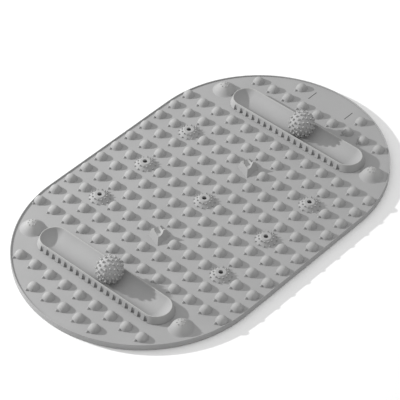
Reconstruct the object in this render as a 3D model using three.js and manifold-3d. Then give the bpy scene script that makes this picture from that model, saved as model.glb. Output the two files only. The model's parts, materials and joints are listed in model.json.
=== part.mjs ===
// Acupressure foot mat: an oval plate of hard plastic with rows of domed nubs, seven studded cones
// that each hold a magnet, two two-horned wedges, and four thumb domes. Two bath-shaped trays drop
// into openings in the plate, and a spiked ball rolls along each tray.
//
// Millimetres. The origin is the middle of the plate's outline, at floor level. +X runs along the
// plate, +Y across it (heels at -Y, toes at +Y), and +Z is up.

import * as THREE from 'three';
import { mergeVertices } from 'three/addons/utils/BufferGeometryUtils.js';
import Module from 'manifold-3d';

const wasm = await Module();
wasm.setup();

// ---------------------------------------------------------------- driving dimensions

const GAP = 0.3; // clearance between pieces that touch
const SINK = 1; // how far a feature's root runs into the piece it stands on

const PLATE = { length: 480, width: 290, top: 7, underside: 0.5, skin: 2.5, wall: 2.5 };
const LIP = { width: 1.2, height: 1.5 }; // raised bead round the plate's edge
const RIB = { width: 1.6, acrossX: [-194, -97, 0, 97, 194], alongY: [-67, 0, 67] }; // grid under the skin
const NUB_PITCH = { x: 24.25, y: 22.45 };
const NUB = { radius: 7.6, height: 6.4, sides: 5 };
const CONE = { foot: 12, crown: 5.8, height: 5.4, bore: 2.6, sides: 16 };
const WEDGE = { height: 10, footAcross: 12, topAcross: 8, footAlong: 16.5, topAlong: 3, turn: 37 };
const NOTCH = { radius: 5.2, centre: 11.2, sides: 14 }; // round notch between the two horns
const THUMB = { radius: 17, height: 10, offsetY: 110, rings: 4, sides: 12 };
const TRAY = { x: 156.4, straight: 75, floor: 7, rim: 15.8, rimWidth: 0.8, foot: 21.9, land: 0.5, step: 1.4 };
const TRACK = { radius: 18.6 }; // round section of the tray's inside
const POCKET = { count: 18, pitch: 9, width: 4, back: 18, top: 12.7 }; // between the gussets of a tray's wall
const BALL = { radius: 16, body: 13.8, wall: 2.3, restY: -7.3, spikeFoot: 2.1 };
const SPIKES = 96;
const CORE = { radius: 5, length: 12, bossRadius: 7.5 };
const MAGNET = { radius: 2.3, height: 3.2 };
const PAD = { radius: 9, recess: 1.2, wall: 2, rowY: 101, columns: [-4.5, -1.5, 1.5, 4.5] }; // anti-slip pads
const ROUND = { plate: 16, tray: 8, track: 16, disc: 12, ball: [12, 8], hollow: [10, 6] }; // facets
const LABEL = { x: 217, halfSpan: 27, length: 15, width: 1, depth: 0.8 };

const endRadius = PLATE.width / 2;
const endCentreX = PLATE.length / 2 - endRadius;
const trackTop = TRAY.floor + TRACK.radius; // height of the track's centre line
const rimHalfOpening = Math.sqrt(TRACK.radius ** 2 - (trackTop - TRAY.rim) ** 2);
const bellyHalfWidth = rimHalfOpening + TRAY.step;
const cavityTop = PLATE.top - PLATE.skin;
const ballZ = TRAY.floor + GAP + BALL.radius;

// ---------------------------------------------------------------- materials

const matPlastic = new THREE.MeshStandardMaterial({ color: 0xb4b4b4, roughness: 0.55, metalness: 0 });
const ballPlastic = new THREE.MeshStandardMaterial({ color: 0xbababa, roughness: 0.5, metalness: 0 });
const ferrite = new THREE.MeshStandardMaterial({ color: 0x3a3a3c, roughness: 0.6, metalness: 0.2 });
const plating = new THREE.MeshStandardMaterial({ color: 0x9a9a9c, roughness: 0.3, metalness: 1 });
const padRubber = new THREE.MeshStandardMaterial({ color: 0x2c2c2c, roughness: 0.85, metalness: 0 });

// ---------------------------------------------------------------- solids

/** Turns a closed geometry into a solid, after welding its corners and dropping flat slivers. */
function solid(geometry) {
  const bare = geometry.clone();
  for (const name of Object.keys(bare.attributes)) {
    if (name !== 'position') bare.deleteAttribute(name);
  }
  const welded = mergeVertices(bare, 1e-4);
  const triangles = [];
  const index = welded.index.array;
  for (let i = 0; i < index.length; i += 3) {
    const [a, b, c] = [index[i], index[i + 1], index[i + 2]];
    if (a !== b && b !== c && c !== a) triangles.push(a, b, c);
  }
  return new wasm.Manifold(
    new wasm.Mesh({
      numProp: 3,
      vertProperties: new Float32Array(welded.attributes.position.array),
      triVerts: new Uint32Array(triangles),
    }),
  );
}

/** Turns a solid back into a geometry that three.js can show. */
function geometryOf(body) {
  const mesh = body.getMesh();
  const geometry = new THREE.BufferGeometry();
  const count = mesh.vertProperties.length / mesh.numProp;
  const positions = new Float32Array(count * 3);
  for (let i = 0; i < count; i += 1) {
    positions.set(mesh.vertProperties.subarray(i * mesh.numProp, i * mesh.numProp + 3), i * 3);
  }
  geometry.setAttribute('position', new THREE.BufferAttribute(positions, 3));
  geometry.setIndex(new THREE.BufferAttribute(new Uint32Array(mesh.triVerts), 1));
  geometry.computeVertexNormals();
  return geometry;
}

/** A flat oval with straight sides, `straight` from its middle to where each round end starts. */
function oval(straight, radius) {
  const shape = new THREE.Shape();
  shape.moveTo(-straight, -radius);
  shape.lineTo(straight, -radius);
  shape.absarc(straight, 0, radius, -Math.PI / 2, Math.PI / 2, false);
  shape.lineTo(-straight, radius);
  shape.absarc(-straight, 0, radius, Math.PI / 2, (3 * Math.PI) / 2, false);
  return shape;
}

/** A flat outline raised from height `low` to height `high`. */
function raised(shape, low, high, curveSegments) {
  const options = { depth: high - low, bevelEnabled: false, curveSegments };
  return solid(new THREE.ExtrudeGeometry(shape, options).translate(0, 0, low));
}

/** An oval block whose long side runs along Y. */
function ovalAcross(straight, radius, low, high, curveSegments) {
  return raised(oval(straight, radius), low, high, curveSegments).rotate([0, 0, 90]);
}

/** A solid turned about Z from [radius, height] points that start and end on the axis. */
function turned(points, sides) {
  const profile = points.map(([radius, height]) => new THREE.Vector2(radius, height));
  return solid(new THREE.LatheGeometry(profile, sides).rotateX(Math.PI / 2));
}

/** A solid like a turned one, stretched along Y so that its sides run straight between two round ends. */
function stretched(points, straight, sides) {
  const step = (2 * Math.PI) / sides;
  const trueRadius = 1 / Math.cos(step / 2); // keeps the flats at the true radius
  const profile = points.map(([radius, height]) => new THREE.Vector2(radius * trueRadius, height));
  const geometry = new THREE.LatheGeometry(profile, sides, step / 2).rotateX(Math.PI / 2);
  const position = geometry.attributes.position;
  for (let i = 0; i < position.count; i += 1) {
    const meridian = step / 2 + step * Math.floor(i / profile.length);
    position.setY(i, position.getY(i) - straight * Math.sign(Math.cos(meridian)));
  }
  return solid(geometry);
}

/** A plain round disc or rod along Z, centred on the origin. */
function disc(radius, height) {
  return new THREE.CylinderGeometry(radius, radius, height, ROUND.disc).rotateX(Math.PI / 2);
}

/** A box from its low corner to its high corner. */
function block(low, high) {
  const size = high.map((value, axis) => value - low[axis]);
  const middle = high.map((value, axis) => (value + low[axis]) / 2);
  return solid(new THREE.BoxGeometry(...size).translate(...middle));
}

// ---------------------------------------------------------------- where things stand

/** Grid places [x, y] of the plain nubs; the special places and the label area stay free. */
function nubPlaces() {
  const places = [];
  const addColumn = (column, rows) => {
    for (const row of rows) places.push([column * NUB_PITCH.x, row * NUB_PITCH.y]);
  };
  const span = (last) => Array.from({ length: 2 * last + 1 }, (_, k) => k - last);
  for (const column of span(5)) {
    const special = column % 3 === 0;
    addColumn(column, span(6).filter((row) => !(special && row % 4 === 0)));
  }
  addColumn(-9, span(2));
  addColumn(-8, span(4));
  addColumn(8, span(4));
  addColumn(9, [-2, 2]);
  return places;
}

/** Places [x, y] of the studded cones, and of the two-horned wedges in the middle row. */
function specialPlaces() {
  const cones = [];
  const wedges = [];
  for (const column of [-3, 0, 3]) {
    for (const row of [-4, 0, 4]) {
      const place = [column * NUB_PITCH.x, row * NUB_PITCH.y];
      if (row === 0 && column !== 0) wedges.push(place);
      else cones.push(place);
    }
  }
  return { cones, wedges };
}

/** Places [x, y] of the anti-slip pads, in two rows under the plate. */
function padPlaces() {
  const places = [];
  for (const y of [-PAD.rowY, PAD.rowY]) {
    for (const column of PAD.columns) places.push([column * NUB_PITCH.x, y]);
  }
  return places;
}

// ---------------------------------------------------------------- the plate's features

/** A nub: a low dome with its root under the skin, one shoulder, and a crown. */
function nub() {
  const rootFlare = 1.03;
  const shoulder = THREE.MathUtils.degToRad(12);
  const points = [
    [0, -SINK],
    [NUB.radius * rootFlare, -SINK],
    [NUB.radius * Math.cos(shoulder), NUB.height * Math.sin(shoulder)],
    [0, NUB.height],
  ];
  return turned(points, NUB.sides);
}

/** A thumb dome: a bell whose flank flares out into the plate. */
function thumbDome() {
  const lowest = 0.9; // share of the radius where the flank leaves the plate
  const points = [[0, -SINK], [THUMB.radius, -SINK]];
  for (let ring = 0; ring < THUMB.rings; ring += 1) {
    const share = lowest * (1 - ring / THUMB.rings);
    points.push([THUMB.radius * share, THUMB.height * (1 - share ** 2) ** 1.5]);
  }
  points.push([0, THUMB.height]);
  return turned(points, THUMB.sides);
}

/** A cone with a flat crown; its magnet bore is cut later, through the skin's top. */
function cone() {
  const slope = (CONE.foot - CONE.crown) / CONE.height;
  const foot = CONE.foot + SINK * slope;
  return turned([[0, -SINK], [foot, -SINK], [CONE.crown, CONE.height], [0, CONE.height]], CONE.sides);
}

/** A four-sided wedge with a round notch across its top, which leaves two horns. */
function hornedWedge() {
  const geometry = new THREE.CylinderGeometry(1, 1, WEDGE.height + SINK, 4, 1).rotateX(Math.PI / 2);
  geometry.translate(0, 0, (WEDGE.height - SINK) / 2);
  const position = geometry.attributes.position;
  for (let i = 0; i < position.count; i += 1) {
    const rise = position.getZ(i) / WEDGE.height;
    const across = THREE.MathUtils.lerp(WEDGE.footAcross, WEDGE.topAcross, rise);
    const along = THREE.MathUtils.lerp(WEDGE.footAlong, WEDGE.topAlong, rise);
    position.setXY(i, position.getX(i) * along, position.getY(i) * across);
  }
  const notch = new THREE.CylinderGeometry(NOTCH.radius, NOTCH.radius, 4 * WEDGE.footAlong, NOTCH.sides);
  notch.rotateZ(Math.PI / 2).translate(0, 0, NOTCH.centre);
  return solid(geometry).subtract(solid(notch)).rotate([0, 0, WEDGE.turn]);
}

/** The plate's shell: a skin, a wall round the edge, a raised lip and a grid of ribs below. */
function plateShell() {
  const inner = endRadius - PLATE.wall;
  let shell = raised(oval(endCentreX, endRadius), PLATE.underside, PLATE.top + LIP.height, ROUND.plate);
  const field = oval(endCentreX, endRadius - LIP.width);
  shell = shell.subtract(raised(field, PLATE.top, PLATE.top + LIP.height + SINK, ROUND.plate));
  shell = shell.subtract(raised(oval(endCentreX, inner), PLATE.underside - SINK, cavityTop, ROUND.plate));
  let grid = null;
  const addRib = (low, high) => {
    const rib = block(low, high);
    grid = grid ? grid.add(rib) : rib;
  };
  const half = RIB.width / 2;
  for (const x of RIB.acrossX) {
    addRib([x - half, -endRadius, PLATE.underside], [x + half, endRadius, cavityTop + GAP]);
  }
  for (const y of RIB.alongY) {
    addRib([-PLATE.length / 2, y - half, PLATE.underside], [PLATE.length / 2, y + half, cavityTop + GAP]);
  }
  const wallMiddle = oval(endCentreX, endRadius - PLATE.wall / 2);
  return shell.add(grid.intersect(raised(wallMiddle, PLATE.underside, PLATE.top, ROUND.plate)));
}

/** The whole plate moulding. */
function plate() {
  let body = plateShell();
  const { cones, wedges } = specialPlaces();
  const features = [
    ...nubPlaces().map((place) => [nub(), place]),
    ...cones.map((place) => [cone(), place]),
    ...wedges.map((place) => [hornedWedge(), place]),
  ];
  for (const x of [-TRAY.x, TRAY.x]) {
    for (const y of [-THUMB.offsetY, THUMB.offsetY]) {
      features.push([thumbDome(), [x, y]]);
    }
  }
  for (const [feature, [x, y]] of features) body = body.add(feature.translate([x, y, PLATE.top]));

  for (const x of [-TRAY.x, TRAY.x]) {
    const edge = bellyHalfWidth + GAP;
    const collar = ovalAcross(TRAY.straight, edge + PLATE.wall, PLATE.underside, PLATE.top, ROUND.tray);
    const opening = ovalAcross(TRAY.straight, edge, -SINK, PLATE.top + SINK, ROUND.tray);
    const clear = TRAY.foot + GAP;
    const footprint = stretched(
      [[0, PLATE.top], [clear, PLATE.top], [clear, 2 * TRAY.rim], [0, 2 * TRAY.rim]],
      TRAY.straight,
      2 * ROUND.tray,
    );
    body = body.add(collar.translate([x, 0, 0]));
    body = body.subtract(opening.translate([x, 0, 0])).subtract(footprint.translate([x, 0, 0]));
  }
  for (const [x, y] of cones) {
    const depth = CONE.height + SINK;
    body = body.subtract(solid(disc(CONE.bore, depth).translate(x, y, PLATE.top + depth / 2)));
  }
  const bossHeight = cavityTop + GAP - PLATE.underside;
  for (const [x, y] of padPlaces()) {
    const boss = disc(PAD.radius + PAD.wall, bossHeight).translate(x, y, PLATE.underside + bossHeight / 2);
    const seat = disc(PAD.radius, 2 * PAD.recess).translate(x, y, PLATE.underside);
    body = body.add(solid(boss)).subtract(solid(seat));
  }
  for (const side of [-1, 1]) {
    const y = side * LABEL.halfSpan;
    const low = [LABEL.x - LABEL.length / 2, y - LABEL.width / 2, PLATE.top - LABEL.depth];
    const high = [LABEL.x + LABEL.length / 2, y + LABEL.width / 2, PLATE.top + SINK];
    body = body.subtract(block(low, high));
  }
  return body;
}

// ---------------------------------------------------------------- trays, balls, magnets, pads

/** A tray about its own middle: flared wall with pockets, belly through the plate, round track inside. */
function tray() {
  const foot = PLATE.top + GAP;
  const wall = [
    [0, foot],
    [TRAY.foot, foot],
    [TRAY.foot, foot + TRAY.land],
    [rimHalfOpening + TRAY.rimWidth, TRAY.rim],
    [0, TRAY.rim],
  ];
  let body = stretched(wall, TRAY.straight, 2 * ROUND.tray);
  body = body.add(ovalAcross(TRAY.straight, bellyHalfWidth, cavityTop, foot + SINK, ROUND.tray));
  for (let k = 0; k < POCKET.count; k += 1) {
    const y = (k - (POCKET.count - 1) / 2) * POCKET.pitch;
    for (const side of [-1, 1]) {
      const [near, far] = [side * POCKET.back, side * (TRAY.foot + SINK)];
      const low = [Math.min(near, far), y - POCKET.width / 2, foot - SINK];
      const high = [Math.max(near, far), y + POCKET.width / 2, POCKET.top];
      body = body.subtract(block(low, high));
    }
  }
  const corner = TRACK.radius / Math.cos(Math.PI / ROUND.track); // keeps the flats at the true radius
  const profile = [];
  for (let k = 0; k <= ROUND.track / 4; k += 1) {
    const angle = (2 * Math.PI * k) / ROUND.track;
    profile.push([corner * Math.sin(angle), -TRAY.straight - corner * Math.cos(angle)]);
  }
  const mirrored = profile.map(([radius, height]) => [radius, -height]).reverse();
  const track = turned([...profile, ...mirrored], ROUND.track).rotate([90, 0, 0]).translate([0, 0, trackTop]);
  return body.subtract(track);
}

/** One half of a hollow spiked ball, centred on the origin, on the side `side` (-1 or 1) of X. */
function ballHalf(side) {
  let body = solid(new THREE.SphereGeometry(BALL.body, ...ROUND.ball));
  const up = new THREE.Vector3(0, 1, 0);
  const golden = Math.PI * (3 - Math.sqrt(5));
  for (let k = 0; k < SPIKES; k += 1) {
    const x = 1 - (2 * k + 1) / SPIKES;
    const ring = Math.sqrt(1 - x * x);
    const direction = new THREE.Vector3(x, ring * Math.cos(golden * k), ring * Math.sin(golden * k));
    const length = BALL.radius - BALL.body + SINK;
    const spike = new THREE.ConeGeometry(BALL.spikeFoot, length, 3);
    spike.translate(0, BALL.radius - length / 2, 0);
    spike.applyQuaternion(new THREE.Quaternion().setFromUnitVectors(up, direction));
    body = body.add(solid(spike));
  }
  const hollow = solid(new THREE.SphereGeometry(BALL.body - BALL.wall, ...ROUND.hollow));
  const bossLength = 2 * BALL.body - BALL.wall; // so that its ends lie in the ball's wall
  const boss = disc(CORE.bossRadius, bossLength).rotateY(Math.PI / 2);
  const bore = disc(CORE.radius + GAP, CORE.length + 2 * GAP).rotateY(Math.PI / 2);
  body = body.subtract(hollow.subtract(solid(boss))).subtract(solid(bore));
  const reach = 2 * BALL.radius;
  const near = (side * GAP) / 2;
  const [low, high] = side > 0 ? [near, reach] : [-reach, near];
  return body.intersect(block([low, -reach, -reach], [high, reach, reach]));
}

// ---------------------------------------------------------------- the assembly

const group = new THREE.Group();

/** Adds one named piece to the mat. */
function place(name, geometry, material, x, y, z) {
  const mesh = new THREE.Mesh(geometry, material);
  mesh.name = name;
  mesh.position.set(x, y, z);
  group.add(mesh);
}

place('mat_plate', geometryOf(plate()), matPlastic, 0, 0, 0);

const trayGeometry = geometryOf(tray());
const innerHalf = { left: geometryOf(ballHalf(1)), right: geometryOf(ballHalf(-1)) };
const outerHalf = { left: innerHalf.right, right: innerHalf.left };
for (const [side, x] of [['left', -TRAY.x], ['right', TRAY.x]]) {
  place(`${side}_tray`, trayGeometry, matPlastic, x, 0, 0);
  place(`${side}_ball_inner_half`, innerHalf[side], ballPlastic, x, BALL.restY, ballZ);
  place(`${side}_ball_outer_half`, outerHalf[side], ballPlastic, x, BALL.restY, ballZ);
  const core = disc(CORE.radius, CORE.length).rotateY(Math.PI / 2);
  place(`${side}_ball_core`, core, plating, x, BALL.restY, ballZ);
}

specialPlaces().cones.forEach(([x, y], k) => {
  const z = PLATE.top + GAP + MAGNET.height / 2;
  place(`magnet_${k + 1}`, disc(MAGNET.radius, MAGNET.height), ferrite, x, y, z);
});

padPlaces().forEach(([x, y], k) => {
  const height = PLATE.underside + PAD.recess - GAP;
  place(`anti_slip_pad_${k + 1}`, disc(PAD.radius - GAP, height), padRubber, x, y, height / 2);
});

export default group;
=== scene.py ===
"""Looks for an acupressure foot mat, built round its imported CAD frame.

The mat is an oval plastic plate with domed nubs, studded cones that hold magnets, two-horned wedges
and thumb domes. A spiked ball rolls along each of its two bath-shaped trays. Everything is in metres,
in the frame's own axes: +X along the plate, +Y towards the toes, +Z up.
"""

import json
import logging
import math
from collections.abc import Callable
from dataclasses import dataclass, field
from enum import Enum

import bmesh
import bpy
from mathutils import Matrix, Vector


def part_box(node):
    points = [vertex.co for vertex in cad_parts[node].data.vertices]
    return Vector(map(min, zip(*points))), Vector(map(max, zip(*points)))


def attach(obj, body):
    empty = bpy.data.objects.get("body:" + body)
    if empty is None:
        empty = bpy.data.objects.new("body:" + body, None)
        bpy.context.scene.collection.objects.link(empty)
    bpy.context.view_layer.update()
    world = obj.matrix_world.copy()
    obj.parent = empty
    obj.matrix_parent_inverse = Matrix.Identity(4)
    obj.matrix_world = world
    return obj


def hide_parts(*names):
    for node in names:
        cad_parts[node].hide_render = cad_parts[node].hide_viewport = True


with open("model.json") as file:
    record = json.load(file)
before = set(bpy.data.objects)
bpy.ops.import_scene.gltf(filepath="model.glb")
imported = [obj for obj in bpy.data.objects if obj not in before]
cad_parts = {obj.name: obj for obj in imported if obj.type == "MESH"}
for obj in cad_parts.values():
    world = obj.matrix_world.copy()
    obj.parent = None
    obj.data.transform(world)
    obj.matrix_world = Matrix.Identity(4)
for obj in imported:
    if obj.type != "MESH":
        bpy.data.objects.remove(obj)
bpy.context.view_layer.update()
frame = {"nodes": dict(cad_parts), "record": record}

LOG = logging.getLogger("foot_mat")

MM = 0.001  # one millimetre in metres
SINK = 1 * MM  # how far a feature's root runs into the piece that it stands on
GAP = 0.3 * MM  # clearance between pieces that touch
WELD = 0.001 * MM  # points closer than this become one
SMOOTH_ANGLE = math.radians(32)  # edges sharper than this stay crisp
STUD_FULLNESS = 2.4  # how full the small studs on the cones and thumb domes are
RELIEF_STRENGTH = 0.6  # how strongly a finish's fine relief bends the light
WEAR = "wear"  # mesh attribute, from 0 on an untouched surface to 1 on a fully rubbed one
MIX_FACTOR, MIX_A, MIX_B, MIX_RESULT = 0, 6, 7, 2  # a colour Mix node's sockets

Outline = list[tuple[float, float]]


class Slot(Enum):
    """The record's material slots."""

    MAT_PLASTIC = "mat_plastic"
    BALL_PLASTIC = "ball_plastic"
    FERRITE = "ferrite"
    CORE_PLATING = "core_plating"
    PAD_RUBBER = "pad_rubber"


class Join(Enum):
    """Ways to combine two solids."""

    ADD = "UNION"
    CUT = "DIFFERENCE"
    KEEP = "INTERSECT"


class Side(Enum):
    """The two ends of the mat, by the sign of X."""

    LEFT = -1
    RIGHT = 1

    @property
    def word(self) -> str:
        """The side's name as the frame's nodes use it."""
        return self.name.lower()


# ---------------------------------------------------------------- shapes


@dataclass
class Shell:
    """Closed surfaces, gathered as points and faces before they become one mesh."""

    points: list[Vector] = field(default_factory=list)
    faces: list[tuple[int, ...]] = field(default_factory=list)

    def add(self, other: "Shell", place: Matrix) -> None:
        """Adds a copy of another shell, moved to its place."""
        start = len(self.points)
        self.points.extend(place @ point for point in other.points)
        self.faces.extend(tuple(start + index for index in face) for face in other.faces)

    def bridge(self, lower: list[int], upper: list[int]) -> None:
        """Joins two rings of the same length with a band of faces."""
        for here, after in zip(range(len(lower)), [*range(1, len(lower)), 0]):
            self.faces.append((lower[here], lower[after], upper[after], upper[here]))

    def solid(self, name: str) -> bpy.types.Object:
        """Turns the shells into one object whose faces point outwards.

        Args:
            name: the object's name.

        Returns:
            The new object, in the scene.
        """
        mesh = bpy.data.meshes.new(name)
        mesh.from_pydata(self.points, [], self.faces)
        work = bmesh.new()
        work.from_mesh(mesh)
        bmesh.ops.remove_doubles(work, verts=work.verts, dist=WELD)
        bmesh.ops.recalc_face_normals(work, faces=work.faces)
        work.to_mesh(mesh)
        work.free()
        body = bpy.data.objects.new(name, mesh)
        bpy.context.scene.collection.objects.link(body)
        return body


def shell_of(body: bpy.types.Object) -> Shell:
    """Takes an object apart again into a shell, and removes the object."""
    faces = [tuple(face.vertices) for face in body.data.polygons]
    shell = Shell([point.co.copy() for point in body.data.vertices], faces)
    bpy.data.objects.remove(body)
    return shell


def laid_along_x(shell: Shell) -> Shell:
    """Lays a shell that was turned about Z along X."""
    laid = Shell()
    laid.add(shell, Matrix.Rotation(math.pi / 2, 4, "Y"))
    return laid


def stacked(rings: list[list[Vector]]) -> Shell:
    """Joins rings of points into a closed shell.

    Args:
        rings: the rings from the bottom to the top, all with the same number of points.

    Returns:
        The shell. An end ring that is a point or a line already gets no cap.
    """
    shell = Shell()
    numbers = []
    for ring in rings:
        start = len(shell.points)
        shell.points.extend(ring)
        numbers.append(list(range(start, start + len(ring))))
    for lower, upper in zip(numbers, numbers[1:]):
        shell.bridge(lower, upper)
    if rings[0][0] != rings[0][1]:
        shell.faces.append(tuple(reversed(numbers[0])))
    if rings[-1][0] != rings[-1][1]:
        shell.faces.append(tuple(numbers[-1]))
    return shell


def lathe(outline: Outline, sides: int) -> Shell:
    """Turns an outline about Z.

    Args:
        outline: radius and height of each point, from the bottom to the top.
        sides: how many facets go round.

    Returns:
        A closed shell. An end that isn't on the axis gets a flat cap.
    """
    turns = [2 * math.pi * side / sides for side in range(sides)]
    return stacked(
        [
            [Vector((radius * math.cos(turn), radius * math.sin(turn), height)) for turn in turns]
            for radius, height in outline
        ]
    )


def oval_ring(straight: float, radius: float, height: float, steps: int, along: str) -> list[Vector]:
    """Points round an oval with straight sides.

    Args:
        straight: from the oval's middle to where each round end starts.
        radius: half the oval's width.
        height: the ring's height.
        steps: facets of each round end.
        along: "X" or "Y", the oval's long direction.

    Returns:
        The ring's points, counter-clockwise.
    """
    points = []
    for end, first in ((1, -math.pi / 2), (-1, math.pi / 2)):
        for step in range(steps + 1):
            angle = first + math.pi * step / steps
            across = end * straight + radius * math.cos(angle)
            points.append(Vector((across, radius * math.sin(angle), height)))
    if along == "Y":
        points = [Vector((-point.y, point.x, point.z)) for point in points]
    return points


def swept(straight: float, outline: Outline, steps: int, along: str) -> Shell:
    """Carries an outline round an oval.

    Args:
        straight: from the oval's middle to where each round end starts.
        outline: distance from the oval's middle line, and height, of each point from the bottom to the top.
        steps: facets of each round end.
        along: "X" or "Y", the oval's long direction.

    Returns:
        A closed shell. An end that isn't on the middle line gets a flat cap.
    """
    return stacked([oval_ring(straight, across, height, steps, along) for across, height in outline])


def block(low: Vector, high: Vector) -> Shell:
    """A box between two corners."""
    plan = [(low.x, low.y), (high.x, low.y), (high.x, high.y), (low.x, high.y)]
    return stacked([[Vector((x, y, level)) for x, y in plan] for level in (low.z, high.z)])


def rounded(corners: list[tuple[float, float, float]], steps: int = 4) -> Outline:
    """An outline with rounded corners.

    Args:
        corners: across, height and rounding radius of each corner.
        steps: facets of each rounded corner.

    Returns:
        The outline's points, with an arc at each corner that has a radius.
    """
    outline = []
    for before, corner, after in zip([corners[0], *corners], corners, [*corners[1:], corners[-1]]):
        here = Vector(corner[:2])
        if corner[2] == 0:
            outline.append(tuple(here))
            continue
        back = (Vector(before[:2]) - here).normalized()
        ahead = (Vector(after[:2]) - here).normalized()
        half = back.angle(ahead) / 2
        centre = here + (back + ahead).normalized() * (corner[2] / math.sin(half))
        first = here + back * (corner[2] / math.tan(half)) - centre
        last = here + ahead * (corner[2] / math.tan(half)) - centre
        for step in range(steps + 1):
            unit_arm = first.slerp(last, step / steps)
            outline.append(tuple(centre + unit_arm * corner[2]))
    return outline


def dome(radius: float, height: float, fullness: float, rings: int, sides: int) -> Shell:
    """A dome that stands on z = 0, with its root sunk below.

    Args:
        radius: the dome's radius at its foot.
        height: the dome's height.
        fullness: 2 is a parabola; more is flatter on top with steeper sides.
        rings: rings of facets from foot to top.
        sides: how many facets go round.

    Returns:
        A closed shell.
    """
    outline = [(0, -SINK), (radius, -SINK)]
    for ring in range(rings):
        share = math.cos(math.pi / 2 * ring / rings)
        outline.append((radius * share, height * (1 - share**fullness)))
    outline.append((0, height))
    return lathe(outline, sides)


def combine(body: bpy.types.Object, tool: bpy.types.Object, how: Join) -> None:
    """Joins or cuts a body with a tool, then removes the tool.

    Args:
        body: the object that changes.
        tool: the object that it is combined with.
        how: whether the tool is added, cut away, or kept as the common part.
    """
    modifier = body.modifiers.new("combine", "BOOLEAN")
    modifier.operation = how.value
    modifier.solver = "MANIFOLD"
    modifier.object = tool
    settle(body)
    bpy.data.objects.remove(tool)


def settle(body: bpy.types.Object) -> None:
    """Makes a body's modifiers part of its mesh."""
    scene_state = bpy.context.evaluated_depsgraph_get()
    mesh = bpy.data.meshes.new_from_object(body.evaluated_get(scene_state))
    body.modifiers.clear()
    body.data = mesh


def smooth(body: bpy.types.Object) -> None:
    """Shades a body smooth between crisp edges, with its flat faces kept flat."""
    body.data.shade_smooth()
    body.data.set_sharp_from_angle(angle=SMOOTH_ANGLE)
    weighted = body.modifiers.new("flat_faces", "WEIGHTED_NORMAL")
    weighted.keep_sharp = True
    settle(body)


# ---------------------------------------------------------------- finishes


def linear(colour: str) -> tuple[float, float, float, float]:
    """Turns an sRGB hex colour into linear light."""
    channels = [int(colour[start : start + 2], 16) / 255 for start in (1, 3, 5)]
    light = [c / 12.92 if c <= 0.04045 else ((c + 0.055) / 1.055) ** 2.4 for c in channels]
    return (*light, 1.0)


def add_node(tree: bpy.types.NodeTree, kind: str, inputs: dict | None = None, **settings) -> bpy.types.Node:
    """Adds a node with its settings and links.

    Args:
        tree: the node tree that takes it.
        kind: the node's type.
        inputs: for each input's name or number, a value or the output socket that feeds it.
        settings: the node's own properties.

    Returns:
        The new node.
    """
    node = tree.nodes.new(kind)
    for name, value in settings.items():
        setattr(node, name, value)
    for name, value in (inputs or {}).items():
        if isinstance(value, bpy.types.NodeSocket):
            tree.links.new(value, node.inputs[name])
        else:
            node.inputs[name].default_value = value
    return node


@dataclass(frozen=True)
class Finish:
    """A surface in two close tones, with a fine relief and a roughness that varies with the tones."""

    name: str
    colour: str
    patch_colour: str
    roughness: float
    roughness_spread: float
    patch_size: float
    patch_edges: tuple[float, float]  # noise levels where the second tone begins and is full
    grain_size: float
    grain_depth: float

    def patches(self, tree: bpy.types.NodeTree, place: bpy.types.NodeSocket) -> bpy.types.NodeSocket:
        """How much of the second tone shows at each place.

        Args:
            tree: the material's node tree.
            place: the socket that gives the place on the piece.

        Returns:
            A socket with a value from 0 to 1.
        """
        inputs = {"Vector": place, "Scale": 1 / self.patch_size, "Detail": 3.0}
        noise = add_node(tree, "ShaderNodeTexNoise", inputs)
        low, high = self.patch_edges
        levels = {"Value": noise.outputs["Fac"], "From Min": low, "From Max": high}
        return add_node(tree, "ShaderNodeMapRange", levels).outputs[0]

    def grain(self, tree: bpy.types.NodeTree, place: bpy.types.NodeSocket) -> bpy.types.NodeSocket:
        """The height of the fine relief at each place.

        Args:
            tree: the material's node tree.
            place: the socket that gives the place on the piece.

        Returns:
            A socket with a value from 0 to 1.
        """
        inputs = {"Vector": place, "Scale": 1 / self.grain_size, "Detail": 2.0}
        return add_node(tree, "ShaderNodeTexNoise", inputs).outputs["Fac"]

    def tone(self, tree: bpy.types.NodeTree, patches: bpy.types.NodeSocket) -> bpy.types.NodeSocket:
        """The colour at each place, mixed from the two tones."""
        inputs = {MIX_FACTOR: patches, MIX_A: linear(self.colour), MIX_B: linear(self.patch_colour)}
        return add_node(tree, "ShaderNodeMix", inputs, data_type="RGBA").outputs[MIX_RESULT]

    def polish(self, tree: bpy.types.NodeTree, patches: bpy.types.NodeSocket) -> bpy.types.NodeSocket:
        """The roughness at each place."""
        inputs = {
            "Value": patches,
            "To Min": self.roughness - self.roughness_spread,
            "To Max": self.roughness + self.roughness_spread,
        }
        return add_node(tree, "ShaderNodeMapRange", inputs).outputs[0]

    def body(self) -> dict[str, float]:
        """The shader's settings that are the same all over."""
        return {}

    def material(self) -> bpy.types.Material:
        """Builds the material.

        Returns:
            The new material.
        """
        material = bpy.data.materials.new(self.name)
        material.use_nodes = True
        tree = material.node_tree
        tree.nodes.clear()
        place = add_node(tree, "ShaderNodeTexCoord").outputs["Object"]
        patches = self.patches(tree, place)
        grain = self.grain(tree, place)
        relief = {"Strength": RELIEF_STRENGTH, "Distance": self.grain_depth, "Height": grain}
        skin = {
            "Base Color": self.tone(tree, patches),
            "Roughness": self.polish(tree, patches),
            "Normal": add_node(tree, "ShaderNodeBump", relief).outputs[0],
            **self.body(),
        }
        shader = add_node(tree, "ShaderNodeBsdfPrincipled", skin)
        add_node(tree, "ShaderNodeOutputMaterial", {"Surface": shader.outputs[0]})
        return material


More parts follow.
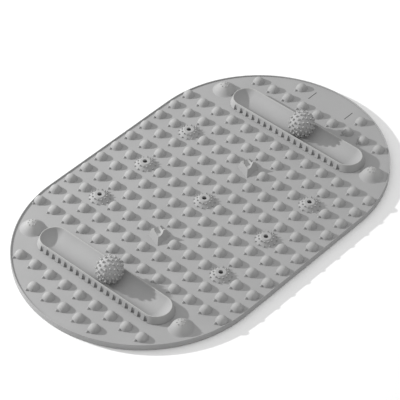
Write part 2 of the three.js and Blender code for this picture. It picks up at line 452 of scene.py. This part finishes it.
@dataclass(frozen=True)
class MouldedPolypropylene(Finish):
    """Polypropylene moulded in a spark-eroded tool.

    To the eye it is an even satin grey with a fine grain, faint clouds where the melt flowed, and raised
    points that hands and feet have rubbed a little smoother and paler.
    """

    rubbed_colour: str = "#A4A4A3"
    rubbed_polish: float = 0.08  # how much smoother a fully rubbed point is
    roughness: float = 0.86
    roughness_spread: float = 0.04
    patch_size: float = 45 * MM
    patch_edges: tuple[float, float] = (0.3, 0.7)
    grain_size: float = 1.1 * MM  # a spark-eroded grain is about 0.1 mm; drawn coarser so that it shows
    grain_depth: float = 0.04 * MM

    def tone(self, tree: bpy.types.NodeTree, patches: bpy.types.NodeSocket) -> bpy.types.NodeSocket:
        """The colour at each place, paler where the piece is rubbed."""
        clouded = super().tone(tree, patches)
        wear = add_node(tree, "ShaderNodeAttribute", attribute_name=WEAR).outputs["Fac"]
        inputs = {MIX_FACTOR: wear, MIX_A: clouded, MIX_B: linear(self.rubbed_colour)}
        return add_node(tree, "ShaderNodeMix", inputs, data_type="RGBA").outputs[MIX_RESULT]

    def polish(self, tree: bpy.types.NodeTree, patches: bpy.types.NodeSocket) -> bpy.types.NodeSocket:
        """The roughness at each place, lower where the piece is rubbed."""
        even = super().polish(tree, patches)
        wear = add_node(tree, "ShaderNodeAttribute", attribute_name=WEAR).outputs["Fac"]
        inputs = {0: wear, 1: -self.rubbed_polish, 2: even}
        return add_node(tree, "ShaderNodeMath", inputs, operation="MULTIPLY_ADD").outputs[0]

    def body(self) -> dict[str, float]:
        """Polypropylene's refraction."""
        return {"IOR": 1.49}


@dataclass(frozen=True)
class CoatedFerrite(Finish):
    """Ferrite pressed, sintered and dipped in matt black epoxy.

    To the eye it is a soft black disc, a little uneven where the coat is thin, that throws back almost
    no light from the bottom of its bore.
    """

    name: str = "epoxy_coated_ferrite"
    colour: str = "#141415"
    patch_colour: str = "#222120"
    roughness: float = 0.6
    roughness_spread: float = 0.08
    patch_size: float = 0.6 * MM  # the pressed grain is 0.05 mm; drawn coarser so that it shows
    patch_edges: tuple[float, float] = (0.5, 0.75)
    grain_size: float = 0.4 * MM
    grain_depth: float = 0.03 * MM

    def body(self) -> dict[str, float]:
        """Epoxy's refraction."""
        return {"IOR": 1.55}


@dataclass(frozen=True)
class NickelPlatedSteel(Finish):
    """Turned steel with a thin nickel plating.

    To the eye it is a warm pale metal whose turning marks run round the rod as fine lines.
    """

    name: str = "nickel_plated_steel"
    colour: str = "#BDB6AB"
    patch_colour: str = "#A29B91"
    roughness: float = 0.3
    roughness_spread: float = 0.08
    patch_size: float = 4 * MM
    patch_edges: tuple[float, float] = (0.35, 0.7)
    grain_size: float = 0.4 * MM  # a finishing cut leaves 0.1 mm marks; drawn coarser so that they show
    grain_depth: float = 0.02 * MM
    grain_wander: float = 0.6  # how far the marks stray from true rings

    def grain(self, tree: bpy.types.NodeTree, place: bpy.types.NodeSocket) -> bpy.types.NodeSocket:
        """Turning marks, as bands across the rod's axis, X."""
        bands = math.pi / 10 / self.grain_size  # the wave texture's scale for one band every grain_size
        inputs = {"Vector": place, "Scale": bands, "Distortion": self.grain_wander}
        return add_node(tree, "ShaderNodeTexWave", inputs, bands_direction="X").outputs["Fac"]

    def body(self) -> dict[str, float]:
        """A metal."""
        return {"Metallic": 1.0}


@dataclass(frozen=True)
class MouldedRubber(Finish):
    """Nitrile rubber, compression moulded.

    To the eye it is a soft near-black with a dusty bloom in patches and no clear highlight.
    """

    name: str = "moulded_rubber"
    colour: str = "#262627"
    patch_colour: str = "#3B3A39"
    roughness: float = 0.82
    roughness_spread: float = 0.06
    patch_size: float = 7 * MM
    patch_edges: tuple[float, float] = (0.45, 0.75)
    grain_size: float = 0.8 * MM  # the mould's grit is about 0.15 mm; drawn coarser so that it shows
    grain_depth: float = 0.06 * MM

    def body(self) -> dict[str, float]:
        """Nitrile rubber's refraction."""
        return {"IOR": 1.52}


# ---------------------------------------------------------------- fitting pieces to the frame


def middle(node: str) -> Vector:
    """The middle of a CAD node's box."""
    low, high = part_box(node)
    return (low + high) / 2


def around(node: str) -> Matrix:
    """Moves a shape that was made round Z so that it stands round a CAD node's middle."""
    spot = middle(node)
    return Matrix.Translation((spot.x, spot.y, 0))


def body_of(node: str) -> str:
    """The body that a CAD node belongs to."""
    bodies = frame["record"]["behaviour"]["bodies"]
    return next(body for body, nodes in bodies.items() if node in nodes)


def mark_wear(piece: bpy.types.Object, share: Callable[[Vector], float]) -> None:
    """Stores how rubbed each point of a piece is, from 0 to 1.

    Args:
        piece: the piece to mark.
        share: gives a point's wear from its place.
    """
    wear = piece.data.attributes.new(WEAR, "FLOAT", "POINT")
    for point, value in zip(piece.data.vertices, wear.data):
        value.value = min(1.0, max(0.0, share(point.co)))


def fit(piece: bpy.types.Object, node: str, material: bpy.types.Material) -> None:
    """Dresses a finished piece and puts it in its CAD node's place.

    Args:
        piece: the finished piece.
        node: the CAD node that it stands for.
        material: the piece's material.
    """
    smooth(piece)
    piece.data.materials.clear()
    piece.data.materials.append(material)
    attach(piece, body_of(node))
    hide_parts(node)
    LOG.info("%s: %d faces, in %s", piece.name, len(piece.data.polygons), material.name)


# ---------------------------------------------------------------- the plate's features


@dataclass
class Nub:
    """A plain nub: a full dome with a small stud at its foot."""

    radius: float = 7.1 * MM
    height: float = 6.1 * MM
    fullness: float = 2.9
    stud_radius: float = 1.7 * MM
    stud_height: float = 2.2 * MM
    stud_fullness: float = 2.0
    stud_reach: float = 8.1 * MM
    stud_angle: float = math.radians(160)

    def shell(self) -> Shell:
        """The dome alone."""
        return dome(self.radius, self.height, self.fullness, rings=9, sides=32)

    def studs(self) -> Shell:
        """The stud at the dome's foot."""
        studs = Shell()
        foot = Matrix.Rotation(self.stud_angle, 4, "Z") @ Matrix.Translation((self.stud_reach, 0, 0))
        studs.add(dome(self.stud_radius, self.stud_height, self.stud_fullness, rings=4, sides=14), foot)
        return studs


@dataclass
class StuddedCone:
    """A low cone with a flat crown round a magnet's bore, and two rings of small studs."""

    foot: float = 12 * MM
    crown: float = 5.8 * MM
    height: float = 5.4 * MM
    crown_round: float = 0.7 * MM
    bore: float = 2.65 * MM
    chamfer: float = 0.35 * MM
    stud_radius: float = 0.95 * MM
    stud_height: float = 2.0 * MM
    studs_in_ring: int = 12
    ring_shares: tuple[float, float] = (0.1, 0.68)  # places of the two rings, from foot to crown

    def shell(self) -> Shell:
        """The cone without its bore."""
        slope = (self.foot - self.crown) / self.height
        corners = [
            (0, -SINK, 0),
            (self.foot + SINK * slope, -SINK, 0),
            (self.crown, self.height, self.crown_round),
            (0, self.height, 0),
        ]
        return lathe(rounded(corners), sides=64)

    def studs(self) -> Shell:
        """The studs, square to the flank."""
        studs = Shell()
        stud = dome(self.stud_radius, self.stud_height, STUD_FULLNESS, rings=3, sides=12)
        lean = math.atan2(self.height, self.foot - self.crown)
        for share in self.ring_shares:
            reach = self.foot + share * (self.crown - self.foot)
            place = Matrix.Translation((reach, 0, share * self.height)) @ Matrix.Rotation(lean, 4, "Y")
            for number in range(self.studs_in_ring):
                turn = Matrix.Rotation(2 * math.pi * number / self.studs_in_ring, 4, "Z")
                studs.add(stud, turn @ place)
        return studs

    def bore_cut(self, depth: float) -> Shell:
        """The bore with a chamfered mouth, from the skin's top to above the crown."""
        mouth = self.height - self.chamfer
        outline = [
            (0, -depth),
            (self.bore, -depth),
            (self.bore, mouth),
            (self.bore + 2 * self.chamfer, self.height + self.chamfer),
            (0, self.height + self.chamfer),
        ]
        return lathe(outline, sides=32)


@dataclass
class HornedWedge:
    """A four-sided wedge with a round notch across its top, which leaves two horns."""

    height: float = 10 * MM
    foot_along: float = 16.5 * MM
    foot_across: float = 12 * MM
    top_along: float = 3 * MM
    top_across: float = 8 * MM
    notch_radius: float = 5.2 * MM
    notch_height: float = 11.2 * MM
    edge_round: float = 0.5 * MM
    turn: float = math.radians(37)

    def shell(self) -> Shell:
        """Builds one wedge about its own foot.

        Returns:
            The notched and rounded wedge as a shell.
        """
        rings = []
        for height in (-SINK, self.height):
            rise = height / self.height
            along = self.foot_along + rise * (self.top_along - self.foot_along)
            across = self.foot_across + rise * (self.top_across - self.foot_across)
            plan = [(along, 0), (0, across), (-along, 0), (0, -across)]
            rings.append([Vector((x, y, height)) for x, y in plan])
        body = stacked(rings).solid("wedge")
        notch = Shell()
        lay = Matrix.Translation((0, 0, self.notch_height)) @ Matrix.Rotation(math.pi / 2, 4, "Y")
        reach = 2 * self.foot_along
        notch.add(lathe([(self.notch_radius, -reach), (self.notch_radius, reach)], sides=48), lay)
        combine(body, notch.solid("notch"), Join.CUT)
        bevel = body.modifiers.new("rounding", "BEVEL")
        bevel.width = self.edge_round
        bevel.segments = 3
        bevel.angle_limit = SMOOTH_ANGLE
        settle(body)
        body.data.transform(Matrix.Rotation(self.turn, 4, "Z"))
        return shell_of(body)


@dataclass
class ThumbDome:
    """A bell-shaped dome for the thumb or heel, with a cluster of small studs round its crown."""

    radius: float = 14.8 * MM
    height: float = 9.5 * MM
    steepness: float = 1.45  # how sharply the flank falls away from the crown
    feather: float = 0.08 * MM  # how far the thin foot dips into the plate
    stud_radius: float = 0.8 * MM
    stud_height: float = 0.9 * MM
    ring_share: float = 0.3  # place of the studs' ring, from the crown to the foot
    studs_in_ring: int = 8

    def level(self, share: float) -> float:
        """The flank's height at a share of the radius."""
        return (self.height + self.feather) * (1 - share**2) ** self.steepness - self.feather

    def shell(self) -> Shell:
        """The dome alone."""
        outline = [(0, -SINK), (self.radius, -SINK)]
        rings = 18
        for ring in range(rings):
            share = 1 - ring / rings
            outline.append((self.radius * share, self.level(share)))
        outline.append((0, self.height))
        return lathe(outline, sides=64)

    def studs(self) -> Shell:
        """One stud on the crown and a ring of studs round it."""
        studs = Shell()
        stud = dome(self.stud_radius, self.stud_height, STUD_FULLNESS, rings=3, sides=12)
        studs.add(stud, Matrix.Translation((0, 0, self.height)))
        small = 0.01
        drop = self.level(self.ring_share) - self.level(self.ring_share + small)
        lean = Matrix.Rotation(math.atan2(drop, small * self.radius), 4, "Y")
        place = Matrix.Translation((self.ring_share * self.radius, 0, self.level(self.ring_share))) @ lean
        for number in range(self.studs_in_ring):
            studs.add(stud, Matrix.Rotation(2 * math.pi * number / self.studs_in_ring, 4, "Z") @ place)
        return studs


# ---------------------------------------------------------------- the plate


@dataclass
class MatPlate:
    """The mat's one-piece plate: a ribbed shell below, and all its nubs, cones and wedges above."""

    top: float = 7 * MM
    skin: float = 2.5 * MM
    underside: float = 0.5 * MM
    wall: float = 2.5 * MM
    edge_round: float = 0.6 * MM
    wall_round: float = 0.3 * MM
    lip_width: float = 1.2 * MM
    lip_height: float = 1.2 * MM
    lip_round: float = 0.2 * MM
    pitch_x: float = 24.25 * MM
    pitch_y: float = 22.45 * MM
    thumb_y: float = 110 * MM
    rib_width: float = 1.6 * MM
    ribs_at_x: tuple[float, ...] = (-194 * MM, -97 * MM, 0.0, 97 * MM, 194 * MM)
    ribs_at_y: tuple[float, ...] = (-67 * MM, 0.0, 67 * MM)
    tray_straight: float = 75 * MM
    tray_clearance: float = 0.05 * MM  # from the plate's top up to the cut round each tray's foot
    tray_step: float = 4.7 * MM  # from the tray's footprint in to the edge of its opening
    pad_wall: float = 2 * MM
    pad_recess: float = 1.2 * MM
    label_x: float = 217 * MM
    label_half_span: float = 27 * MM
    label_length: float = 15 * MM
    groove_width: float = 1 * MM
    groove_depth: float = 1.5 * MM
    worn_from: float = 2 * MM  # height above the plate's top where rubbing starts
    nub: Nub = field(default_factory=Nub)
    cone: StuddedCone = field(default_factory=StuddedCone)
    wedge: HornedWedge = field(default_factory=HornedWedge)
    thumb: ThumbDome = field(default_factory=ThumbDome)

    def __post_init__(self) -> None:
        """Takes the plate's size, and the places of its trays, magnets and pads, from the frame."""
        low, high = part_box("mat_plate")
        self.half_width = (high.y - low.y) / 2
        self.straight = (high.x - low.x) / 2 - self.half_width
        self.ceiling = self.top - self.skin
        self.trays = [middle(f"{side.word}_tray") for side in Side]
        tray_low, tray_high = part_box("left_tray")
        self.footprint = (tray_high.x - tray_low.x) / 2 + GAP
        self.magnet_nodes = [node for node in sorted(frame["nodes"]) if node.startswith("magnet_")]
        self.magnets = [middle(node) for node in self.magnet_nodes]
        self.pads = [node for node in sorted(frame["nodes"]) if node.startswith("anti_slip_pad_")]

    def place(self, spot: Vector) -> Matrix:
        """Moves a feature to a place on the plate's top."""
        return Matrix.Translation((spot.x, spot.y, self.top))

    def spot(self, column: float, row: float) -> Vector:
        """The place of a grid column and row."""
        return Vector((column * self.pitch_x, row * self.pitch_y, 0))

    def nub_spots(self) -> list[Vector]:
        """Grid places of the plain nubs; the special places and the label area stay free."""
        spots = []
        for column in range(-5, 6):
            rows = [row for row in range(-6, 7) if column % 3 or row % 4]
            spots += [self.spot(column, row) for row in rows]
        for column, last in ((-9, 2), (-8, 4), (8, 4)):
            spots += [self.spot(column, row) for row in range(-last, last + 1)]
        return spots + [self.spot(9, row) for row in (-2, 2)]

    def wedge_spots(self) -> list[Vector]:
        """Places of the two wedges, in the middle row."""
        return [self.spot(column, 0) for column in (-3, 3)]

    def thumb_spots(self) -> list[Vector]:
        """Places of the four thumb domes, at the ends of the trays."""
        return [Vector((tray.x, end * self.thumb_y, 0)) for tray in self.trays for end in (-1, 1)]

    def blank(self) -> bpy.types.Object:
        """The plain plate: skin, wall and raised lip."""
        inside = self.half_width - self.wall
        lip_inside = self.half_width - self.lip_width
        lip_top = self.top + self.lip_height
        corners = [
            (inside, self.ceiling, 0),
            (inside, self.underside, self.wall_round),
            (self.half_width, self.underside, self.edge_round),
            (self.half_width, lip_top, self.lip_round),
            (lip_inside, lip_top, self.lip_round),
            (lip_inside, self.top, 0),
        ]
        return swept(self.straight, rounded(corners), steps=72, along="X").solid("plate")

    def gathered(self, kinds: list[tuple[Shell, list[Vector]]]) -> Shell:
        """Puts a copy of each kind's shell at each of its places on the plate."""
        shell = Shell()
        for feature, spots in kinds:
            for spot in spots:
                shell.add(feature, self.place(spot))
        return shell

    def features(self) -> Shell:
        """All that stands on the plate, without the small studs."""
        return self.gathered(
            [
                (self.nub.shell(), self.nub_spots()),
                (self.cone.shell(), self.magnets),
                (self.wedge.shell(), self.wedge_spots()),
                (self.thumb.shell(), self.thumb_spots()),
            ]
        )

    def studs(self) -> Shell:
        """The small studs of the nubs, cones and thumb domes."""
        return self.gathered(
            [
                (self.nub.studs(), self.nub_spots()),
                (self.cone.studs(), self.magnets),
                (self.thumb.studs(), self.thumb_spots()),
            ]
        )

    def rib_grids(self) -> list[Shell]:
        """The ribs under the skin: one set that runs along Y, and one that runs along X."""
        root = self.ceiling + GAP
        reach = self.half_width - self.wall / 2
        half = self.rib_width / 2
        across = Shell()
        for x in self.ribs_at_x:
            end = math.sqrt(reach**2 - max(0, abs(x) - self.straight) ** 2)
            rib = block(Vector((x - half, -end, self.underside)), Vector((x + half, end, root)))
            across.add(rib, Matrix())
        along = Shell()
        for y in self.ribs_at_y:
            end = self.straight + math.sqrt(reach**2 - y**2)
            rib = block(Vector((-end, y - half, self.underside)), Vector((end, y + half, root)))
            along.add(rib, Matrix())
        return [across, along]

    def seats(self) -> Shell:
        """The collars round the tray openings and the bosses round the pads."""
        shell = Shell()
        outer = self.footprint - self.tray_step + self.wall
        root = self.ceiling + GAP
        collar = swept(self.tray_straight, [(outer, self.underside), (outer, root)], steps=24, along="Y")
        for tray in self.trays:
            shell.add(collar, Matrix.Translation((tray.x, tray.y, 0)))
        for node in self.pads:
            low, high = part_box(node)
            radius = (high.x - low.x) / 2 + GAP + self.pad_wall
            shell.add(lathe([(radius, self.underside), (radius, root)], sides=48), around(node))
        return shell

    def openings(self) -> Shell:
        """The tray openings, with a shallow footprint that clears the trays' walls."""
        shell = Shell()
        narrow = self.footprint - self.tray_step
        step_height = self.top + self.tray_clearance
        outline = [
            (narrow, -SINK),
            (narrow, step_height),
            (self.footprint, step_height),
            (self.footprint, 2 * self.top),
        ]
        opening = swept(self.tray_straight, outline, steps=24, along="Y")
        for tray in self.trays:
            shell.add(opening, Matrix.Translation((tray.x, tray.y, 0)))
        return shell

    def small_cuts(self) -> Shell:
        """The magnet bores, pad seats and the two lines beside the label area."""
        shell = Shell()
        bore = self.cone.bore_cut(depth=0)
        for magnet in self.magnets:
            shell.add(bore, self.place(magnet))
        for node in self.pads:
            low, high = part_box(node)
            radius = (high.x - low.x) / 2 + GAP
            seat = lathe([(radius, -SINK), (radius, self.underside + self.pad_recess)], sides=48)
            shell.add(seat, around(node))
        reach = Vector((self.label_length / 2, self.groove_width / 2, self.groove_depth))
        for side in (-1, 1):
            spot = Vector((self.label_x, side * self.label_half_span, self.top))
            shell.add(block(spot - reach, spot + reach), Matrix())
        return shell

    def build(self, plastic: bpy.types.Material) -> None:
        """Builds the plate and puts it in the frame.

        Args:
            plastic: the plate's material.
        """
        plate = self.blank()
        plate.name = "moulded_plate"
        steps = (
            (self.features(), Join.ADD),
            (self.studs(), Join.ADD),
            *((ribs, Join.ADD) for ribs in self.rib_grids()),
            (self.seats(), Join.ADD),
            (self.openings(), Join.CUT),
            (self.small_cuts(), Join.CUT),
        )
        for shell, how in steps:
            combine(plate, shell.solid("tool"), how)
        mark_wear(plate, lambda point: (point.z - self.top - self.worn_from) / self.thumb.height)
        fit(plate, "mat_plate", plastic)


# ---------------------------------------------------------------- trays and balls


@dataclass
class Tray:
    """A bath-shaped tray that drops into the plate: round track inside, flared wall with pockets outside."""

    side: Side
    foot: float = 7.3 * MM  # height of the wall's foot, clear of the plate
    floor: float = 7 * MM  # height of the track's lowest line
    track_radius: float = 18.6 * MM
    rim_width: float = 0.8 * MM
    rim_round: float = 0.25 * MM
    land: float = 0.5 * MM  # upright edge at the foot of the flared wall
    flare_inset: float = 2.2 * MM  # from the tray's box in to the foot of the flared wall
    belly_round: float = 1.5 * MM
    belly_step: float = 1.4 * MM  # how far the belly under the plate stands out from the track's edge
    pockets: int = 18
    pocket_pitch: float = 9 * MM
    pocket_width: float = 4.4 * MM
    pocket_back: float = 17.1 * MM
    pocket_top: float = 13.9 * MM
    pocket_round: float = 0.5 * MM
    worn_band: float = 1.2 * MM
    track_steps: int = 18

    def __post_init__(self) -> None:
        """Takes the tray's outer size and place from the frame."""
        low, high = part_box(f"{self.side.word}_tray")
        self.centre = (low + high) / 2
        self.base = low.z
        self.rim = high.z
        self.half_width = (high.x - low.x) / 2
        self.straight = (high.y - low.y) / 2 - self.half_width

    def outline(self) -> Outline:
        """The tray's section, from the middle of its belly round to the middle of its track."""
        axis_height = self.floor + self.track_radius
        opening = math.sqrt(self.track_radius**2 - (axis_height - self.rim) ** 2)
        belly = opening + self.belly_step
        flare = self.half_width - self.flare_inset
        widest = math.asin(opening / self.track_radius)
        angles = [widest * (1 - step / self.track_steps) for step in range(1, self.track_steps + 1)]
        reach = self.track_radius
        arc = [(reach * math.sin(angle), axis_height - reach * math.cos(angle)) for angle in angles]
        corners = [
            (0, self.base, 0),
            (belly, self.base, self.belly_round),
            (belly, self.foot, 0),
            (flare, self.foot, 0),
            (flare, self.foot + self.land, self.rim_round),
            (opening + self.rim_width, self.rim, self.rim_round),
            (opening, self.rim, self.rim_round),
            (*arc[0], 0),
        ]
        return rounded(corners) + arc[1:]

    def pocket_cut(self) -> bpy.types.Object:
        """The pockets along both straight walls, with rounded edges."""
        shell = Shell()
        reach = (self.half_width + SINK - self.pocket_back) / 2
        for number in range(self.pockets):
            y = (number - (self.pockets - 1) / 2) * self.pocket_pitch
            for end in (-1, 1):
                spot = Vector((end * (self.pocket_back + reach), y, 0))
                low = spot - Vector((reach, self.pocket_width / 2, SINK - self.foot))
                high = spot + Vector((reach, self.pocket_width / 2, self.pocket_top))
                shell.add(block(low, high), Matrix())
        cut = shell.solid("pockets")
        bevel = cut.modifiers.new("rounding", "BEVEL")
        bevel.width = self.pocket_round
        bevel.segments = 2
        settle(cut)
        return cut

    def build(self, plastic: bpy.types.Material) -> None:
        """Builds the tray and puts it in the frame.

        Args:
            plastic: the tray's material.
        """
        tray = swept(self.straight, self.outline(), steps=36, along="Y").solid(f"{self.side.word}_bath_tray")
        combine(tray, self.pocket_cut(), Join.CUT)
        tray.data.transform(Matrix.Translation((self.centre.x, self.centre.y, 0)))
        mark_wear(tray, lambda point: 1 - (self.rim - point.z) / self.worn_band)
        fit(tray, f"{self.side.word}_tray", plastic)


@dataclass
class SpikedBall:
    """A hollow spiked ball in two halves that close over a plated core rod."""

    side: Side
    radius: float = 15.95 * MM
    body: float = 13.8 * MM
    wall: float = 2.3 * MM
    spikes: int = 96
    spike_foot: float = 1.45 * MM
    spike_tip: float = 1.2 * MM
    tip_rise: float = 0.55  # height of a spike's rounded end, as a share of its radius
    boss: float = 7.5 * MM
    core_round: float = 0.5 * MM

    def __post_init__(self) -> None:
        """Takes the core's size and place from the frame."""
        low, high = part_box(f"{self.side.word}_ball_core")
        self.centre = (low + high) / 2
        self.core_radius = (high.z - low.z) / 2
        self.core_length = high.x - low.x

    def globe(self, radius: float, steps: int) -> Shell:
        """A sphere with its poles on X."""
        outline = []
        for step in range(steps + 1):
            angle = math.pi * step / steps
            across = 0 if step in (0, steps) else radius * math.sin(angle)
            outline.append((across, -radius * math.cos(angle)))
        return laid_along_x(lathe(outline, sides=2 * steps))

    def spiked(self) -> Shell:
        """All the spikes, evenly spread in a spiral round X."""
        shell = Shell()
        root = self.body - SINK
        shoulder = self.radius - self.tip_rise * self.spike_tip
        outline = [(0, root), (self.spike_foot, root), (self.spike_tip, shoulder)]
        for step in (1, 2):
            angle = math.pi / 2 * step / 3
            rise = (self.radius - shoulder) * math.sin(angle)
            outline.append((self.spike_tip * math.cos(angle), shoulder + rise))
        spike = lathe([*outline, (0, self.radius)], sides=12)
        golden = math.pi * (3 - math.sqrt(5))
        for number in range(self.spikes):
            x = 1 - (2 * number + 1) / self.spikes
            ring = math.sqrt(1 - x * x)
            direction = Vector((x, ring * math.cos(golden * number), ring * math.sin(golden * number)))
            shell.add(spike, direction.to_track_quat("Z", "Y").to_matrix().to_4x4())
        return shell

    def hollow(self) -> bpy.types.Object:
        """The space inside, which leaves a boss round the core's bore."""
        space = self.globe(self.body - self.wall, steps=16).solid("hollow")
        boss = laid_along_x(lathe([(self.boss, -self.body), (self.boss, self.body)], sides=48))
        combine(space, boss.solid("boss"), Join.CUT)
        return space

    def half(self, end: int) -> bpy.types.Object:
        """Builds the half on one side of the parting plane.

        Args:
            end: -1 or 1, the half's side of X.

        Returns:
            The half, in its place.
        """
        ball = self.globe(self.body, steps=32).solid("ball_half")
        combine(ball, self.spiked().solid("spikes"), Join.ADD)
        combine(ball, self.hollow(), Join.CUT)
        seat = self.core_radius + GAP
        reach = self.core_length / 2 + GAP
        combine(ball, laid_along_x(lathe([(seat, -reach), (seat, reach)], sides=48)).solid("bore"), Join.CUT)
        limit = 2 * self.radius
        near = end * GAP / 2
        low = min(near, end * limit)
        keep = block(Vector((low, -limit, -limit)), Vector((max(near, end * limit), limit, limit)))
        combine(ball, keep.solid("half_space"), Join.KEEP)
        return ball

    def core(self) -> bpy.types.Object:
        """The core rod, with rounded ends."""
        half = self.core_length / 2
        corners = [
            (0, -half, 0),
            (self.core_radius, -half, self.core_round),
            (self.core_radius, half, self.core_round),
            (0, half, 0),
        ]
        return laid_along_x(lathe(rounded(corners), sides=64)).solid(f"{self.side.word}_core_rod")

    def build(self, plastic: bpy.types.Material, plating: bpy.types.Material) -> None:
        """Builds the ball and its core and puts them in the frame.

        Args:
            plastic: the halves' material.
            plating: the core's material.
        """
        word = self.side.word
        for name, end in (("inner", -self.side.value), ("outer", self.side.value)):
            half = self.half(end)
            half.name = f"{word}_spiked_{name}_half"
            mark_wear(half, lambda point: (point.length - self.body) / (self.radius - self.body))
            half.data.transform(Matrix.Translation(self.centre))
            fit(half, f"{word}_ball_{name}_half", plastic)
        core = self.core()
        core.data.transform(Matrix.Translation(self.centre))
        fit(core, f"{word}_ball_core", plating)


# ---------------------------------------------------------------- magnets and pads


@dataclass
class Magnet:
    """A ferrite disc in a cone's bore."""

    node: str
    edge_round: float = 0.3 * MM

    def build(self, ferrite: bpy.types.Material) -> None:
        """Builds the magnet and puts it in the frame.

        Args:
            ferrite: the magnet's material.
        """
        low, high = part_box(self.node)
        radius = (high.x - low.x) / 2
        corners = [
            (0, low.z, 0),
            (radius, low.z, self.edge_round),
            (radius, high.z, self.edge_round),
            (0, high.z, 0),
        ]
        disc = lathe(rounded(corners), sides=40).solid(f"ferrite_{self.node}")
        disc.data.transform(around(self.node))
        fit(disc, self.node, ferrite)


@dataclass
class AntiSlipPad:
    """A rubber pad under the plate, with ring grooves in its face."""

    node: str
    edge_round: float = 0.4 * MM
    groove_depth: float = 0.35 * MM
    groove_width: float = 0.8 * MM
    grooves: int = 3

    def build(self, rubber: bpy.types.Material) -> None:
        """Builds the pad and puts it in the frame.

        Args:
            rubber: the pad's material.
        """
        low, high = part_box(self.node)
        radius = (high.x - low.x) / 2
        corners = [(0, low.z, 0)]
        for number in range(1, self.grooves + 1):
            near = radius * number / (self.grooves + 1)
            roof = low.z + self.groove_depth
            corners += [(near, low.z, 0), (near, roof, 0)]
            corners += [(near + self.groove_width, roof, 0), (near + self.groove_width, low.z, 0)]
        corners += [(radius, low.z, self.edge_round), (radius, high.z, 0), (0, high.z, 0)]
        pad = lathe(rounded(corners), sides=56).solid(f"rubber_{self.node}")
        pad.data.transform(around(self.node))
        fit(pad, self.node, rubber)


# ---------------------------------------------------------------- the studio


@dataclass
class Studio:
    """A pale floor, soft light and the camera."""

    floor_size: float = 24.0
    floor_colour: str = "#F6F6F6"
    floor_roughness: float = 0.9
    key_azimuth: float = math.radians(116)  # from +X towards +Y
    key_elevation: float = math.radians(26)
    key_distance: float = 1.6
    key_size: float = 0.055
    key_power: float = 26.5
    zenith: float = 1.04
    horizon: float = 0.29
    target: Vector = field(default_factory=lambda: Vector((-4.39 * MM, 2.56 * MM, 10.4 * MM)))
    camera_azimuth: float = math.radians(-47.37)  # 0 looks along +Y
    camera_elevation: float = math.radians(43.39)
    camera_roll: float = math.radians(-0.368)
    camera_distance: float = 2.198
    focal_length: float = 179.9

    def build(self) -> None:
        """Builds the floor, lights and camera."""
        self.floor()
        self.key()
        self.sky()
        self.camera()

    def floor(self) -> None:
        """A plain pale floor."""
        half = self.floor_size / 2
        mesh = bpy.data.meshes.new("floor")
        corners = [(-half, -half, 0), (half, -half, 0), (half, half, 0), (-half, half, 0)]
        mesh.from_pydata(corners, [], [(0, 1, 2, 3)])
        floor = bpy.data.objects.new("floor", mesh)
        bpy.context.scene.collection.objects.link(floor)
        paint = bpy.data.materials.new("floor_paint")
        paint.use_nodes = True
        shader = paint.node_tree.nodes["Principled BSDF"]
        shader.inputs["Base Color"].default_value = linear(self.floor_colour)
        shader.inputs["Roughness"].default_value = self.floor_roughness
        mesh.materials.append(paint)

    def key(self) -> None:
        """The key light: a small soft lamp behind the toes, low enough to rake across the nubs."""
        lamp = bpy.data.lights.new("key", "AREA")
        lamp.shape = "DISK"
        lamp.size = self.key_size
        lamp.energy = self.key_power
        key = bpy.data.objects.new("key", lamp)
        level = math.cos(self.key_elevation)
        along = level * math.cos(self.key_azimuth)
        across = level * math.sin(self.key_azimuth)
        towards = Vector((along, across, math.sin(self.key_elevation)))
        key.location = towards * self.key_distance
        key.rotation_euler = towards.to_track_quat("Z", "Y").to_euler()
        bpy.context.scene.collection.objects.link(key)

    def sky(self) -> None:
        """Soft light from all round, stronger from above."""
        world = bpy.data.worlds.new("sky")
        bpy.context.scene.world = world
        world.use_nodes = True
        tree = world.node_tree
        tree.nodes.clear()
        place = add_node(tree, "ShaderNodeTexCoord").outputs["Generated"]
        height = add_node(tree, "ShaderNodeSeparateXYZ", {0: place}).outputs["Z"]
        levels = {"Value": height, "To Min": self.horizon, "To Max": self.zenith}
        strength = add_node(tree, "ShaderNodeMapRange", levels).outputs[0]
        light = add_node(tree, "ShaderNodeBackground", {"Strength": strength})
        light.inputs["Color"].default_value = (1, 1, 1, 1)
        add_node(tree, "ShaderNodeOutputWorld", {"Surface": light.outputs[0]})

    def camera(self) -> None:
        """The camera, which looks down from beyond the heel edge's left corner."""
        lens = bpy.data.cameras.new("camera")
        lens.lens = self.focal_length
        lens.clip_start = 0.1
        lens.clip_end = 100
        camera = bpy.data.objects.new("camera", lens)
        level = math.cos(self.camera_elevation)
        back = Vector(
            (
                math.sin(self.camera_azimuth) * level,
                -math.cos(self.camera_azimuth) * level,
                math.sin(self.camera_elevation),
            )
        )
        roll = Matrix.Rotation(self.camera_roll, 4, "Z")
        turn = back.to_track_quat("Z", "Y").to_matrix().to_4x4()
        camera.matrix_world = Matrix.Translation(self.target + back * self.camera_distance) @ turn @ roll
        bpy.context.scene.collection.objects.link(camera)
        bpy.context.scene.camera = camera
        bpy.context.scene.view_settings.view_transform = "Standard"


def main() -> None:
    """Builds the studio and the sub-assemblies in order."""
    logging.basicConfig(level=logging.INFO, format="%(message)s")
    Studio().build()
    mat_plastic = MouldedPolypropylene("moulded_polypropylene", "#9D9D9D", "#989898").material()
    ball_plastic = MouldedPolypropylene("ball_polypropylene", "#A3A3A3", "#9F9F9F").material()
    ferrite = CoatedFerrite().material()
    plating = NickelPlatedSteel().material()
    rubber = MouldedRubber().material()
    plate = MatPlate()
    plate.build(mat_plastic)
    for side in Side:
        Tray(side).build(mat_plastic)
        SpikedBall(side).build(ball_plastic, plating)
    for node in plate.magnet_nodes:
        Magnet(node).build(ferrite)
    for node in plate.pads:
        AntiSlipPad(node).build(rubber)


if __name__ == "__main__":
    main()
